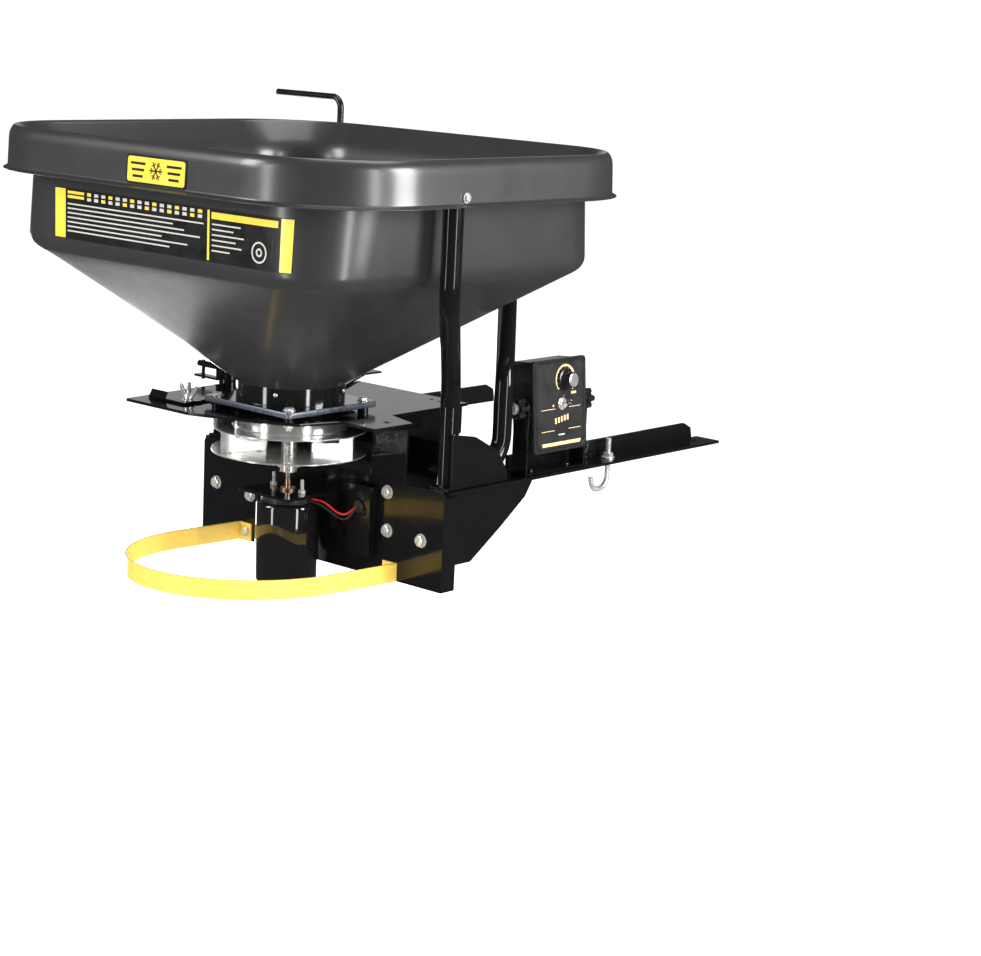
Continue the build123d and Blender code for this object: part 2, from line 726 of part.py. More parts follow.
def face_disc(y, z, x0, x1, r):
    return rod_x(x0, x1, y, z, r)


def make_case():
    back = FACE_X - CASE_D
    shell = Pos((back + FACE_X - 4) / 2, 0, CASE_MID) * Box(CASE_D - 4, CASE_W - 6, CASE_H - 4)
    shell = fillet(shell.edges().filter_by(Axis.X), 8)
    inner = Pos((back + 3 + FACE_X) / 2, 0, CASE_MID) * Box(CASE_D - 3, CASE_W - 12, CASE_H - 10)
    shell -= inner
    for side in (1, -1):
        shell -= rod_y(0, min(side * 40, side * 60), max(side * 40, side * 60), 0, 2.6)
    return in_case(shell)


save("controller_case", make_case())


def make_faceplate():
    plate = Pos(FACE_X - 1, 0, CASE_MID) * Box(4, CASE_W, CASE_H)
    plate = fillet(plate.edges().filter_by(Axis.X), 6)
    plate -= face_disc(10, 32, 0, 40, 3.6)
    plate -= face_disc(4, 0, 0, 40, 4.1)
    plate -= face_disc(7, 10.5, 0, 40, 2.2)
    return in_case(plate)


save("controller_face", make_faceplate())


def make_board():
    """The circuit board, and the potentiometer that stands on it behind the dial."""
    board = Pos(-6, 0, CASE_MID) * Box(1.6, CASE_W - 18, CASE_H - 20)
    pot = face_disc(10, 32, -5.2, FACE_X - 3.2, 8) + face_disc(10, 32, FACE_X - 4, FACE_X + 3, 3.5)
    return in_case(board + pot - face_disc(10, 32, 3, 30, 2.5))


save("circuit_board", make_board())


def make_knob():
    knob = face_disc(10, 32, FACE_X + 4, FACE_X + 16, 11)
    for k in range(18):
        groove = Rot(20 * k, 0, 0) * Pos(FACE_X + 10, 0, 11.4) * Box(14, 1.4, 1.6)
        knob -= Pos(0, 10, 32) * groove
    knob += face_disc(10, 32, FACE_X + 2, FACE_X + 4, 6) - face_disc(10, 32, 0, 40, 3.6)
    knob += face_disc(10, 32, 5, FACE_X + 5, 2.5 - RUN_FIT)
    return in_case(knob)


save("speed_knob", make_knob())


def make_toggle_body():
    body = Pos(FACE_X - 9, 4, 0) * Box(11, 12, 18) + face_disc(4, 0, FACE_X - 4, FACE_X + 5, 4.0)
    body += Pos(FACE_X + 1, 4, 0) * Rot(0, 90, 0) * extrude(RegularPolygon(6.5, 6), 2)
    body -= Pos(FACE_X + 1, 4, 0) * Box(12, 3.8, 6.6)
    return in_case(body)


save("toggle_body", make_toggle_body())


def make_toggle_lever():
    lever = Pos(FACE_X, 4, 0) * Rot(0, 78, 0) * Pos(0, 0, 8) * Cone(1.2, 2.0, 16)
    lever += Pos(FACE_X, 4, 0) * Rot(0, 78, 0) * Pos(0, 0, 16) * Sphere(2.0)
    return in_case(lever + Pos(FACE_X, 4, 0) * Rot(90, 0, 0) * Cylinder(1.9, 3.4))


save("toggle_lever", make_toggle_lever())
save("indicator_lens", in_case(face_disc(7, 10.5, FACE_X - 3, FACE_X + 1.6, 2.1)))


def make_controller_bracket():
    half = CASE_W / 2 + 4
    y0, y1 = CASE_Y - half, CASE_Y + half
    bracket = box(199, 225, y0 - 3, y1 + 3, -80, -77)
    for lo in (y0 - 3, y1):
        leg = box(199, 225, lo, lo + 3, -77, CASE_PIVOT_Z) + rod_y(212, lo, lo + 3, CASE_PIVOT_Z, 13)
        bracket += leg - rod_y(CASE_PIVOT_X, lo - 1, lo + 4, CASE_PIVOT_Z, 3.3)
    return bracket


save("controller_bracket", make_controller_bracket())


def make_clamp_knobs():
    knobs = []
    reach = CASE_W / 2 + 8
    for side in (1, -1):
        lo, hi = sorted((side * reach, side * (reach + 13)))
        knob = rod_y(0, lo, hi, 0, 10.5)
        for k in range(6):
            lobe = Rot(0, 60 * k, 0) * Pos(11, (lo + hi) / 2, 0) * Rot(90, 0, 0) * Cylinder(4.2, hi - lo)
            knob += lobe
        lo, hi = sorted((side * 44, side * reach))
        knobs.append(in_case(knob + rod_y(0, lo, hi, 0, 2.6 - RUN_FIT)))
    return knobs


for label, knob in zip(("front", "rear"), make_clamp_knobs()):
    save(f"clamp_knob_{label}", knob)
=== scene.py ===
import bmesh
import bpy
import json
import math
from mathutils import Matrix, Vector

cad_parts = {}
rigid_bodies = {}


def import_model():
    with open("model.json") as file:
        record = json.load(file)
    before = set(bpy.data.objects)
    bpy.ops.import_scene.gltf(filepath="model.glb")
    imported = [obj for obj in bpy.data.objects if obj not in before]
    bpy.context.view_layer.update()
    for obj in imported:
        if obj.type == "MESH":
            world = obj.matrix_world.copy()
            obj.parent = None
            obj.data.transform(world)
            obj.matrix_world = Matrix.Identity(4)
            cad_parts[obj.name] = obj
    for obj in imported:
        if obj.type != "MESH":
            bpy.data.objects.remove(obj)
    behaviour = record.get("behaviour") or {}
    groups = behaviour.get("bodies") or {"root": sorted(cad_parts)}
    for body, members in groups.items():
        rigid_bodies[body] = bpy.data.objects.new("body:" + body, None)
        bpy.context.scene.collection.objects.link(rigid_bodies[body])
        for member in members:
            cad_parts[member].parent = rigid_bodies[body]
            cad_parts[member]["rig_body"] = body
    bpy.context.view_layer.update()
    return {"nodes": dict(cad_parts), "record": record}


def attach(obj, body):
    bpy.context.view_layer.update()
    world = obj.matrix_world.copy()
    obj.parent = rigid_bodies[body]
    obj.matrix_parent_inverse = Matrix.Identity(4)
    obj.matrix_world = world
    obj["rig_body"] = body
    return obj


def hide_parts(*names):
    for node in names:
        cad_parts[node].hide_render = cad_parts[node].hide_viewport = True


# A rack-mounted electric broadcast spreader. Shapes below are drawn in millimetres about the spinner's
# axis, with z = 0 on the deck's top face, and TO_ROW puts them in the row frame, in metres.

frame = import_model()
nodes = frame["nodes"]
slot_of = {s["node"]: s["material_slot"] for s in frame["record"]["subparts"]}
body_of = {name: node["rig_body"] for name, node in nodes.items()}
AXIS_Y, DECK_Z = -0.543, 0.084
TO_ROW = Matrix.Translation((0, AXIS_Y, DECK_Z)) @ Matrix.Scale(0.001, 4)


# ---- materials ----------------------------------------------------------------------------
def new_material(name):
    m = bpy.data.materials.new(name)
    m.use_nodes = True
    nt = m.node_tree
    return m, nt, nt.nodes["Principled BSDF"]


def shader_node(nt, kind, **inputs):
    n = nt.nodes.new(kind)
    for key, value in inputs.items():
        n.inputs[key.replace("_", " ")].default_value = value
    return n


def noise(nt, coord, scale, detail=3.0, rough=0.55):
    n = shader_node(nt, "ShaderNodeTexNoise", Scale=scale, Detail=detail, Roughness=rough)
    nt.links.new(coord, n.inputs["Vector"])
    return n.outputs["Fac"]


def ramp(nt, fac, low, high):
    """A two-ended colour ramp, or with plain numbers a value between low and high."""
    if isinstance(low, (int, float)):
        n = shader_node(nt, "ShaderNodeMapRange", From_Min=0.3, From_Max=0.7, To_Min=low, To_Max=high)
        nt.links.new(fac, n.inputs["Value"])
        return n.outputs["Result"]
    n = nt.nodes.new("ShaderNodeValToRGB")
    for stop, position, color in zip(n.color_ramp.elements, (0.32, 0.68), (low, high)):
        stop.position = position
        stop.color = (*color, 1)
    nt.links.new(fac, n.inputs["Fac"])
    return n.outputs["Color"]


def shade(color, k):
    return tuple(min(1.0, c * k) for c in color)


def finish_of(name, color, rough, metal=0.0, coat=0.0, coat_rough=0.05, vary=0.12, vary_scale=9.0, wear=0.35,
              grain=600.0, bump=0.02, bump_mm=0.1, ior=1.5):
    """A surface with uneven tone, patchy roughness and a fine relief at the scale of the real finish."""
    m, nt, bsdf = new_material(name)
    coord = nt.nodes.new("ShaderNodeTexCoord").outputs["Object"]
    tone = noise(nt, coord, vary_scale, 4.0, 0.6)
    nt.links.new(ramp(nt, tone, shade(color, 1 - vary), shade(color, 1 + vary)), bsdf.inputs["Base Color"])
    patch = noise(nt, coord, vary_scale * 4.3, 6.0, 0.7)
    nt.links.new(ramp(nt, patch, rough * (1 - wear), rough * (1 + wear)), bsdf.inputs["Roughness"])
    relief = shader_node(nt, "ShaderNodeBump", Strength=bump, Distance=bump_mm / 1000)
    nt.links.new(noise(nt, coord, grain, 2.0, 0.5), relief.inputs["Height"])
    nt.links.new(relief.outputs["Normal"], bsdf.inputs["Normal"])
    bsdf.inputs["Metallic"].default_value = metal
    bsdf.inputs["Coat Weight"].default_value = coat
    bsdf.inputs["Coat Roughness"].default_value = coat_rough
    bsdf.inputs["IOR"].default_value = ior
    return m


def spun_metal(name, color, rough):
    """Sheet turned about the spinner's axis: fine rings, and soft streaks of uneven polish."""
    m, nt, bsdf = new_material(name)
    coord = nt.nodes.new("ShaderNodeTexCoord").outputs["Object"]
    about_axis = shader_node(nt, "ShaderNodeMapping", Location=(0, -AXIS_Y, 0))
    nt.links.new(coord, about_axis.inputs["Vector"])
    level = nt.nodes.new("ShaderNodeVectorMath")
    level.operation = "MULTIPLY"
    level.inputs[1].default_value = (1, 1, 0)
    nt.links.new(about_axis.outputs["Vector"], level.inputs[0])
    radius = nt.nodes.new("ShaderNodeVectorMath")
    radius.operation = "LENGTH"
    nt.links.new(level.outputs["Vector"], radius.inputs[0])
    rings = shader_node(nt, "ShaderNodeTexNoise", Scale=900.0, Detail=3.0)
    rings.noise_dimensions = "1D"
    nt.links.new(radius.outputs["Value"], rings.inputs["W"])
    patch = noise(nt, coord, 22.0, 4.0, 0.6)
    nt.links.new(ramp(nt, patch, shade(color, 0.88), shade(color, 1.08)), bsdf.inputs["Base Color"])
    nt.links.new(ramp(nt, rings.outputs["Fac"], rough * 0.6, rough * 1.5), bsdf.inputs["Roughness"])
    relief = shader_node(nt, "ShaderNodeBump", Strength=0.12, Distance=0.0001)
    nt.links.new(rings.outputs["Fac"], relief.inputs["Height"])
    nt.links.new(relief.outputs["Normal"], bsdf.inputs["Normal"])
    bsdf.inputs["Metallic"].default_value = 0.8
    return m


BLACK = (0.005, 0.005, 0.0056)
DEEP_BLACK = (0.006, 0.006, 0.0065)
MATERIALS = {
    "hopper_black": finish_of("moulded_poly", (0.025, 0.025, 0.026), 0.40, vary=0.12, vary_scale=5.0,
                              wear=0.16,
                              grain=1500.0, bump=0.10, bump_mm=0.25, coat=1.0, coat_rough=0.22),
    "gloss_black_paint": finish_of("gloss_black", BLACK, 0.13, ior=1.38, coat=0.2, coat_rough=0.03,
                                   wear=0.4,
                                   grain=210.0, bump=0.05, bump_mm=0.12),
    "collar_grey": finish_of("collar_paint", DEEP_BLACK, 0.10, coat=0.7, wear=0.3, grain=240.0, bump=0.05),
    "guard_yellow": finish_of("guard_paint", (0.90, 0.60, 0.10), 0.30, coat=0.45, coat_rough=0.12,
                              vary=0.05,
                              wear=0.25, grain=260.0, bump=0.06),
    "stainless": spun_metal("spun_stainless", (0.80, 0.79, 0.77), 0.16),
    "zinc": finish_of("zinc_plate", (0.78, 0.78, 0.75), 0.26, metal=0.7, vary=0.14, vary_scale=90.0,
                      wear=0.35,
                      grain=1800.0, bump=0.05),
    "rod_steel": finish_of("rod_paint", BLACK, 0.30, vary=0.2, wear=0.3, grain=420.0, bump=0.06),
    "nylon": finish_of("nylon_black", (0.025, 0.025, 0.026), 0.45, grain=900.0, bump=0.05),
    "motor_black": finish_of("motor_enamel", DEEP_BLACK, 0.08, coat=0.6, coat_rough=0.04, wear=0.3,
                             grain=300.0,
                             bump=0.03),
    "shaft_steel": finish_of("copper_flashed_shaft", (0.72, 0.50, 0.42), 0.24, metal=1.0, vary=0.12,
                             vary_scale=120.0, grain=2500.0, bump=0.06),
    "bronze": finish_of("sintered_bronze", (0.56, 0.36, 0.22), 0.38, metal=1.0, grain=2500.0, bump=0.10),
    "winding": finish_of("lacquered_winding", (0.52, 0.24, 0.10), 0.3, metal=1.0, grain=1500.0, bump=0.3),
    "ferrite": finish_of("ferrite", (0.06, 0.06, 0.065), 0.7, grain=900.0, bump=0.1),
    "rubber_black": finish_of("rubber", (0.016, 0.016, 0.016), 0.52, grain=1200.0, bump=0.08),
    "lead_red": finish_of("red_insulation", (0.62, 0.012, 0.014), 0.34, coat=0.2, vary=0.08,
                          grain=1500.0, bump=0.03),
    "case_black": finish_of("case_plastic", (0.014, 0.014, 0.015), 0.30, coat=0.15, wear=0.25, grain=1700.0,
                            bump=0.10),
    "knob_black": finish_of("knob_plastic", (0.010, 0.010, 0.011), 0.22, coat=0.3, wear=0.3,
                            grain=1500.0, bump=0.04),
    "toggle_chrome": finish_of("toggle_chrome", (0.86, 0.86, 0.86), 0.07, metal=1.0, vary=0.03, grain=900.0,
                               bump=0.01),
    "lens_red": finish_of("lens_red", (0.20, 0.04, 0.04), 0.08, coat=1.0, coat_rough=0.02, grain=400.0,
                          bump=0.01),
    "board_green": finish_of("solder_mask", (0.02, 0.13, 0.05), 0.35, vary_scale=60.0, grain=600.0,
                             bump=0.06),
    "gold_print": finish_of("printed_gold", (0.80, 0.55, 0.26), 0.36, vary=0.05, grain=1500.0, bump=0.03,
                            coat=0.25),
    "decal_black": finish_of("decal_black", (0.004, 0.004, 0.0045), 0.42, coat=0.1, vary=0.1,
                             grain=900.0, bump=0.02),
    "decal_yellow": finish_of("decal_yellow", (0.90, 0.63, 0.06), 0.32, coat=0.3, vary=0.04, grain=900.0,
                              bump=0.02),
    "decal_pale": finish_of("decal_pale", (0.55, 0.54, 0.50), 0.35, vary=0.05, grain=900.0, bump=0.02),
    "motor_cap_grey": finish_of("cap_grey", (0.022, 0.022, 0.023), 0.30, vary=0.15, wear=0.3,
                                grain=700.0, bump=0.10),
}
PANEL = finish_of("printed_grey", (0.014, 0.014, 0.0145), 0.38, vary=0.06, grain=1600.0, bump=0.06)
# The flange edge's bluish grey is a painted highlight, standing in for the light the edge catches.
FLANGE_HIGHLIGHT = finish_of("flange_edge_painted_highlight", (0.16, 0.18, 0.21), 0.30, metal=0.6, vary=0.12, vary_scale=40.0,
                        grain=900.0,
                        bump=0.04)
CAP_SILVER = finish_of("cap_silver", (0.90, 0.90, 0.88), 0.16, metal=0.85, vary=0.03, grain=1200.0,
                       bump=0.02)


# ---- mesh helpers -------------------------------------------------------------------------
UP, REAR = (0, 0, 1), (0, -1, 0)


def aim(point, direction):
    """A frame at point, its Z along direction."""
    return Matrix.Translation(Vector(point)) @ Vector(direction).to_track_quat("Z", "Y").to_matrix().to_4x4()


def upright(x, y, z):
    return aim((x, y, z), UP)


def turn(degrees, axis="Z"):
    return Matrix.Rotation(math.radians(degrees), 4, axis)


def along(z):
    return Matrix.Translation((0, 0, z))


def circle(n):
    return [2 * math.pi * k / n for k in range(n)]


def rings_to_faces(bm, rings, ends="capped"):
    """Faces from each ring to the next. The ends are capped, or joined to each other."""
    rows = [[bm.verts.new(p) for p in ring] for ring in rings]
    n = len(rows[0])
    pairs = list(zip(rows, rows[1:]))
    if ends == "joined":
        pairs.append((rows[-1], rows[0]))
    for a, b in pairs:
        for i in range(n):
            j = (i + 1) % n
            bm.faces.new((a[i], a[j], b[j], b[i]))
    if ends == "capped":
        bm.faces.new(list(reversed(rows[0])))
        bm.faces.new(rows[-1])


def turned(bm, place, profile, n=40):
    """A solid of revolution about place's Z from (radius, z) points, capped at both ends."""
    rings_to_faces(bm, [[place @ Vector((r * math.cos(t), r * math.sin(t), z)) for t in circle(n)]
                        for r, z in profile])


def hex_head(bm, place, r, h, both=False):
    """A hex head or nut, its free corners turned off. r is to the corners."""
    flat = r * math.cos(math.pi / 6)
    face_r = flat * 0.94

    def edge(t):
        return flat / math.cos((t % (math.pi / 3)) - math.pi / 6)

    def drop(t):
        return (edge(t) - face_r) * 0.55

    def face(t):
        return face_r

    def ring(z_of, r_of):
        return [place @ Vector((r_of(t) * math.cos(t), r_of(t) * math.sin(t), z_of(t))) for t in circle(48)]

    rings = [ring(lambda t: drop(t) if both else 0.0, edge), ring(lambda t: h - drop(t), edge),
             ring(lambda t: h, face)]
    if both:
        rings.insert(0, ring(lambda t: 0.0, face))
    rings_to_faces(bm, rings)


def thread(bm, place, z0, z1, r, pitch=1.25, n=24):
    """A threaded end: a helical groove that fades out at both ends."""
    rows = max(4, int((z1 - z0) / pitch * 5))
    rings = []
    for i in range(rows + 1):
        z = z0 + (z1 - z0) * i / rows
        fade = min(1.0, (z1 - z) / pitch, (z - z0) / pitch)
        ring = []
        for k, t in enumerate(circle(n)):
            saw = abs(2 * ((z / pitch - k / n) % 1.0) - 1)
            rad = r - 0.13 * r * saw if fade > 0 else r * 0.84
            ring.append(place @ Vector((rad * math.cos(t), rad * math.sin(t), z)))
        rings.append(ring)
    rings_to_faces(bm, rings)


def lay(bm, outline, place, thick):
    """A flat piece from (u, v) points in place's XY plane, thick along its Z."""
    rings_to_faces(bm, [[place @ Vector((u, v, w)) for u, v in outline] for w in (0, thick)])


def strip(bm, place, u0, u1, v0, v1, thick):
    lay(bm, [(u0, v0), (u1, v0), (u1, v1), (u0, v1)], place, thick)


def band(bm, place, r0, r1, start, end, thick, widen=0.0, steps=40):
    """A flat arc between radii r0 and r1; widen adds to its outer radius towards its end."""
    rings = []
    for k in range(steps + 1):
        a = math.radians(start + (end - start) * k / steps)
        reach = r1 + widen * k / steps
        section = ((r0, 0), (reach, 0), (reach, thick), (r0, thick))
        rings.append([place @ Vector((r * math.cos(a), r * math.sin(a), w)) for r, w in section])
    rings_to_faces(bm, rings)


def washer(bm, place, r, bore, h):
    turned(bm, place, [(r - 0.3, 0), (r, 0.3), (r, h - 0.3), (r - 0.3, h), (bore, h)])


def bar(bm, points, r, n=18):
    """A round bar along points, its section carried without twist."""
    points = [Vector(p) for p in points]
    side = (points[1] - points[0]).normalized().orthogonal().normalized()
    rings = []
    for i, p in enumerate(points):
        ahead = (points[min(i + 1, len(points) - 1)] - points[max(i - 1, 0)]).normalized()
        side = (side - ahead * side.dot(ahead)).normalized()
        other = ahead.cross(side)
        rings.append([p + r * (math.cos(t) * side + math.sin(t) * other) for t in circle(n)])
    rings_to_faces(bm, rings)


QUARTERS = ((1, 1), (-1, 1), (-1, -1), (1, -1))


def corner(quarter, k, steps, hx, hy, r):
    """Point k of steps on one rounded corner of a rectangle of half sizes hx and hy."""
    sx, sy = QUARTERS[quarter]
    a = math.pi / 2 * (quarter + k / steps)
    return sx * (hx - r) + r * math.cos(a), sy * (hy - r) + r * math.sin(a)


def rounded_outline(hx, hy, r, steps=6):
    return [corner(quarter, k, steps, hx, hy, r) for quarter in range(4) for k in range(steps + 1)]


def show(name, data, body, material, replaces=()):
    """Adds data to the scene as a piece that rides on body."""
    o = bpy.data.objects.new(name, data)
    bpy.context.scene.collection.objects.link(o)
    data.materials.append(material)
    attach(o, body)
    if replaces:
        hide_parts(*replaces)
    return o


def piece(name, bm, body, material, replaces=(), smooth=40):
    bmesh.ops.recalc_face_normals(bm, faces=bm.faces)
    mesh = bpy.data.meshes.new(name)
    bm.to_mesh(mesh)
    bm.free()
    mesh.transform(TO_ROW)
    mesh.shade_smooth()
    if smooth:
        mesh.set_sharp_from_angle(angle=math.radians(smooth))
    return show(name, mesh, body, material, replaces)


def stand_in(name, bm, cad_node, smooth=40):
    """A finished piece in place of a CAD node, with that node's body and the material of its slot."""
    slot = slot_of[cad_node]
    return piece(name, bm, body_of[cad_node], MATERIALS[slot], [cad_node], smooth)


SHARP = math.radians(32)


def eased(cad_node, width, material):
    """The CAD node's own shape with its sharp edges broken, as on the real pressed or moulded part."""
    bm = bmesh.new()
    bm.from_mesh(nodes[cad_node].data)
    bmesh.ops.remove_doubles(bm, verts=bm.verts, dist=2e-6)
    bmesh.ops.dissolve_limit(bm, angle_limit=math.radians(0.6), verts=bm.verts, edges=bm.edges)
    mesh = bpy.data.meshes.new(cad_node + "_eased")
    bm.to_mesh(mesh)
    bm.free()
    mesh.shade_smooth()
    mesh.set_sharp_from_angle(angle=SHARP)
    o = show(cad_node + "_eased", mesh, body_of[cad_node], material, [cad_node])
    mod = o.modifiers.new("broken_edges", "BEVEL")
    mod.width = width / 1000
    mod.segments = 2
    mod.limit_method = "ANGLE"
    mod.angle_limit = math.radians(38)
    mod.use_clamp_overlap = True
    mod.harden_normals = True


for name, o in nodes.items():
    o.data.materials.clear()
    o.data.materials.append(MATERIALS[slot_of[name]])
    o.data.shade_smooth()
    o.data.set_sharp_from_angle(angle=SHARP)


# ---- hopper -------------------------------------------------------------------------------
HOPPER_Y = 24.0
WALL = 4.0
NECK_R, NECK_Z, SPIGOT_Z = 71.0, 38.6, 18.0
CREASE_X, CREASE_Y, CREASE_R, CREASE_Z = 288.0, 265.0, 79.0, 203.0
FLARE_X, FLARE_Y, FLARE_R, FLARE_Z = 291.0, 266.0, 100.0, 311.0
RIM_Z = 351.5
BAND_X, BAND_Y, BAND_R = 336.0, 299.0, 150.0
LIP_X, LIP_Y, LIP_R = 342.0, 305.0, 156.0


def neck_section(z, r):
    return (z, r, r, r - 0.4, 0)


def basin_section(z, hx, hy, r):
    return (z, hx, hy, r, HOPPER_Y)


def loop_points(section, corner_steps=22, side_steps=10):
    """A rounded rectangle's points at one height, with its straight sides divided too."""
    z, hx, hy, r, cy = section
    points = []
    for quarter in range(4):
        arc = [Vector((*corner(quarter, k, corner_steps, hx, hy, r), z)) for k in range(corner_steps + 1)]
        end = Vector((*corner((quarter + 1) % 4, 0, 1, hx, hy, r), z))
        points += arc + [arc[-1].lerp(end, k / side_steps) for k in range(1, side_steps)]
    return [p + Vector((0, cy, 0)) for p in points]


def softened(keys, steps=6):
    """Sections with each marked corner of the profile rounded by its given length."""
    out = [keys[0][0]]
    for (a, _), (b, ease), (c, _) in zip(keys, keys[1:], keys[2:]):
        if ease <= 0:
            out.append(b)
            continue

        def toward(p, q):
            k = min(0.48, ease / math.hypot(q[0] - p[0], q[1] - p[1]))
            return tuple(u + (v - u) * k for u, v in zip(p, q))

        p, q = toward(b, a), toward(b, c)
        for t in (i / steps for i in range(steps + 1)):
            out.append(tuple((1 - t) ** 2 * u + 2 * t * (1 - t) * v + t * t * w for u, v, w in zip(p, b, q)))
    out.append(keys[-1][0])
    return out


def make_hopper():
    """The moulding's whole skin: up the inside, over the rim, down its band and back down the outside."""
    profile = [
        (neck_section(SPIGOT_Z, NECK_R - 2 * WALL), 0),
        (neck_section(NECK_Z, NECK_R - WALL), 4),
        (basin_section(CREASE_Z, CREASE_X - WALL, CREASE_Y - WALL, CREASE_R - WALL), 9),
        (basin_section(FLARE_Z, FLARE_X - WALL, FLARE_Y - WALL, FLARE_R - WALL), 18),
        (basin_section(RIM_Z - 0.5, BAND_X - 19, BAND_Y - 9.5, BAND_R - 22), 5),
        (basin_section(RIM_Z, BAND_X - 8, BAND_Y - 7.8, BAND_R - 8), 6),
        (basin_section(RIM_Z - 9, BAND_X - 2, BAND_Y - 2, BAND_R - 2), 8),
        (basin_section(299.8, BAND_X, BAND_Y, BAND_R), 2.0),
        (basin_section(296.8, LIP_X, LIP_Y, LIP_R), 1.0),
        (basin_section(295.6, LIP_X - 1, LIP_Y - 1, LIP_R - 1), 1.0),
        (basin_section(300.5, BAND_X - 2.4, BAND_Y - 2.4, BAND_R - 2.4), 3),
        (basin_section(340, BAND_X - 6, BAND_Y - 6.2, BAND_R - 6), 6),
        (basin_section(345.6, BAND_X - 16.5, BAND_Y - 9.2, BAND_R - 20), 5),
        (basin_section(FLARE_Z, FLARE_X, FLARE_Y, FLARE_R), 18),
        (basin_section(CREASE_Z, CREASE_X, CREASE_Y, CREASE_R), 13),
        (neck_section(NECK_Z, NECK_R), 4),
        (neck_section(30, NECK_R - WALL), 1),
        (neck_section(SPIGOT_Z, NECK_R - WALL), 0),
    ]
    longest = 16
    sections = softened(profile)
    dense = []
    for a, b in zip(sections, sections[1:]):
        parts = max(1, int(math.hypot(b[0] - a[0], b[1] - a[1]) / longest))
        dense += [tuple(u + (v - u) * k / parts for u, v in zip(a, b)) for k in range(parts)]
    dense.append(sections[-1])
    bm = bmesh.new()
    rings_to_faces(bm, [loop_points(s) for s in dense], "joined")
    stand_in("hopper_moulding", bm, "hopper", smooth=0)


make_hopper()


# ---- plates, tubes and castings with their edges broken -----------------------------------
EASED = {
    0.5: ["gate_plate", "gate_stop", "post_bracket", "rod_brackets", "wire_channel", "guard_strap",
          "rod_crank", "flange_spacers", "rod_bushings"],
    0.8: ["deck_plate", "deck_brackets", "back_plate", "motor_bracket", "gussets", "post_plates", "arm_left",
          "arm_right", "controller_bracket", "agitator"],
    0.3: ["spinner_disc", "spinner_ring", "spinner_fins", "feed_collar"],
    1.2: ["throat_collar", "controller_case", "controller_face", "clamp_knob_front", "clamp_knob_rear"],
}
# The flange's spacers, whose slot is zinc, are drawn in gloss black paint as painted shade under the flange.
SHADE_PAINTED_BLACK = {"flange_spacers": "gloss_black_paint"}
for width, names in EASED.items():
    for name in names:
        eased(name, width, MATERIALS[SHADE_PAINTED_BLACK.get(name, slot_of[name])])


# ---- flange, deck and back plate ----------------------------------------------------------
BOLT_GRID = 67
FLANGE_HALF, FLANGE_Z, FLANGE_T = 80, 6.5, 8
BACK_Y = 56.0
PLATE_BOLTS = ((-199, -141), (190, -149), (130, -147), (128, -96), (-130, -147))
STRAP_BOLT_X, STRAP_BOLT_Z = 134, -199.5
DECK_SCREW_X, DECK_SCREW_Y = 140, 36
BRACKET_X, BRACKET_Y, BRACKET_SCREW_PITCH = 212, 279, 76
ARM_TOP = -80


def make_flange_bolts():
    bm = bmesh.new()
    top = FLANGE_Z + FLANGE_T
    for x in (BOLT_GRID, -BOLT_GRID):
        for y in (BOLT_GRID, -BOLT_GRID):
            washer(bm, upright(x, y, top), 8.2, 3.5, 1.0)
            hex_head(bm, upright(x, y, top + 1), 6.6, 3.0)
            turned(bm, upright(x, y, -5), [(3.9, 0), (3.9, 20)], 24)
            thread(bm, upright(x, y, -11.5), 0, 7.5, 3.9)
            hex_head(bm, upright(x, y, -8), 6.6, 4.0, True)
    stand_in("flange_bolt_set", bm, "flange_bolts")


def make_flange_highlight_band():
    """A band round the square flange's edge, coloured bluish grey as a painted highlight."""
    low, high = FLANGE_Z + 0.5, FLANGE_Z + FLANGE_T - 0.5
    section = ((0.1, low), (0.5, low + 0.5), (0.5, high - 0.5), (0.1, high), (-0.6, high), (-0.6, low))
    bm = bmesh.new()
    rings_to_faces(bm, [[(x, y, z) for x, y in rounded_outline(FLANGE_HALF + out, FLANGE_HALF + out, 6)]
                        for out, z in section], "joined")
    piece("flange_edge_highlight_band", bm, "frame", FLANGE_HIGHLIGHT, ())


def make_plate_bolts():
    bm = bmesh.new()
    for x, z in PLATE_BOLTS:
        washer(bm, aim((x, BACK_Y, z), REAR), 9.2, 4, 1.3)
        hex_head(bm, aim((x, BACK_Y - 1.3, z), REAR) @ Matrix.Rotation(0.3, 4, "Z"), 7.5, 4.4)
    for side in (1, -1):
        seat = aim((side * STRAP_BOLT_X, BACK_Y - 3, STRAP_BOLT_Z), REAR)
        hex_head(bm, seat @ Matrix.Rotation(0.2, 4, "Z"), 7.0, 4.6)
    stand_in("plate_bolt_set", bm, "plate_bolts")


def make_frame_screws():
    """The screws through the controller's bracket and the two bolts through the deck."""
    bm = bmesh.new()
    for side in (-1, 1):
        place = upright(BRACKET_X, BRACKET_Y + side * BRACKET_SCREW_PITCH / 2, ARM_TOP + 3)
        turned(bm, place, [(4.5, 0), (4.5, 1.6), (3.6, 3.0), (2.2, 3.5), (2.0, 2.2)])
    for side in (1, -1):
        x, y = side * DECK_SCREW_X, DECK_SCREW_Y
        turned(bm, upright(x, y, 0), [(5.6, 0), (5.4, 0.3), (2.6, 0.6), (2.3, -1.4)])
        hex_head(bm, upright(x, y, -13), 7.2, 5, True)
        turned(bm, upright(x, y, -16), [(3.9, 0), (3.9, 4)], 24)
    black = "gloss_black_paint"
    piece("frame_screw_set", bm, "frame", MATERIALS[black], ["frame_bolts"])


# ---- rack hooks ---------------------------------------------------------------------------
HOOK_X, HOOK_Y, HOOK_BEND, HOOK_R = 210, 412, 16, 3.9


